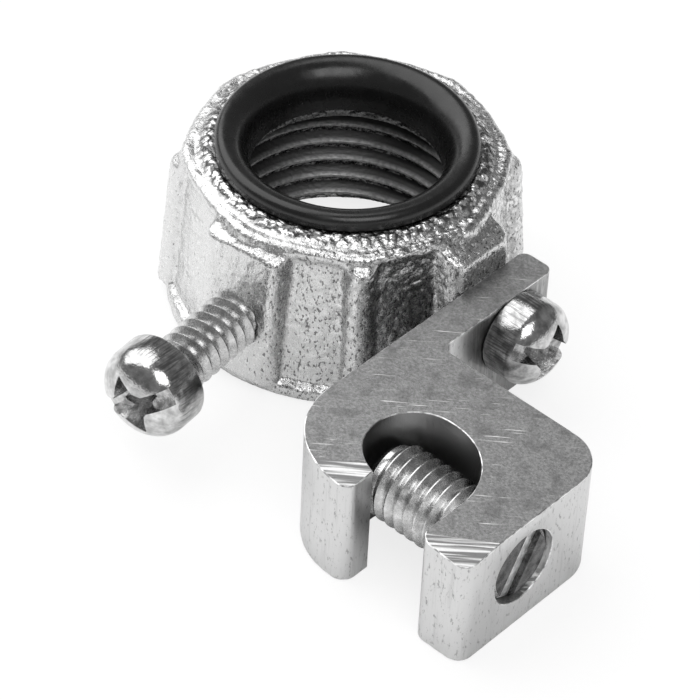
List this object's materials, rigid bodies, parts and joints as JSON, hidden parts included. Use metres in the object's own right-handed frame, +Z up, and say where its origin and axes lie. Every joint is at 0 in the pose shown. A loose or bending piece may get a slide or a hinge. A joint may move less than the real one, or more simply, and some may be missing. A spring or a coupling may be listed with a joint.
{
  "type": "grounding bushing",
  "caption": "Insulated metal grounding bushing for threaded conduit, with a locking screw in a boss and a side lay-in lug whose clamp screw holds a bare earth conductor.",
  "frame": {"origin": "on the axis of the conduit thread at its mouth, in the plane of the casting's bottom face", "axes": "+Z up the bore axis towards the insulating liner, +X towards the lay-in lug, and -Y towards the locking screw and the mouth of the lug"},
  "size_m": [0.0499, 0.0426, 0.0162],
  "materials": {
    "zinc_casting": "rough plated zinc casting",
    "liner_plastic": "gloss black",
    "lug_aluminium": "sawn and tumbled extrusion",
    "plated_steel": "bright zinc plate",
    "clamp_steel": "dull plated steel"
  },
  "bodies": {
    "bushing": {"bushing_body": "zinc_casting", "insulating_liner": "liner_plastic"},
    "lug": {"lay_in_lug": "lug_aluminium"},
    "locking_screw": {"locking_screw": "plated_steel"},
    "lug_screw": {"lug_screw": "plated_steel"},
    "clamp_screw": {"clamp_screw": "clamp_steel"}
  },
  "joints": [
    {"name": "lug_swing", "type": "hinge", "parent": "bushing", "child": "lug", "pos_m": [0.0149, 0, 0.0069], "axis": [1, 0, 0], "continuous": true},
    {"name": "locking_screw_travel", "type": "slide", "parent": "bushing", "child": "locking_screw", "axis": [0.1132, -0.9936, 0], "range_m": [-0.0079, 0.0035]},
    {"name": "lug_screw_travel", "type": "slide", "parent": "bushing", "child": "lug_screw", "axis": [1, 0, 0], "range_m": [0, 0.004]},
    {"name": "clamp_screw_travel", "type": "slide", "parent": "lug", "child": "clamp_screw", "axis": [1, 0, 0], "range_m": [0, 0.0088]}
  ]
}
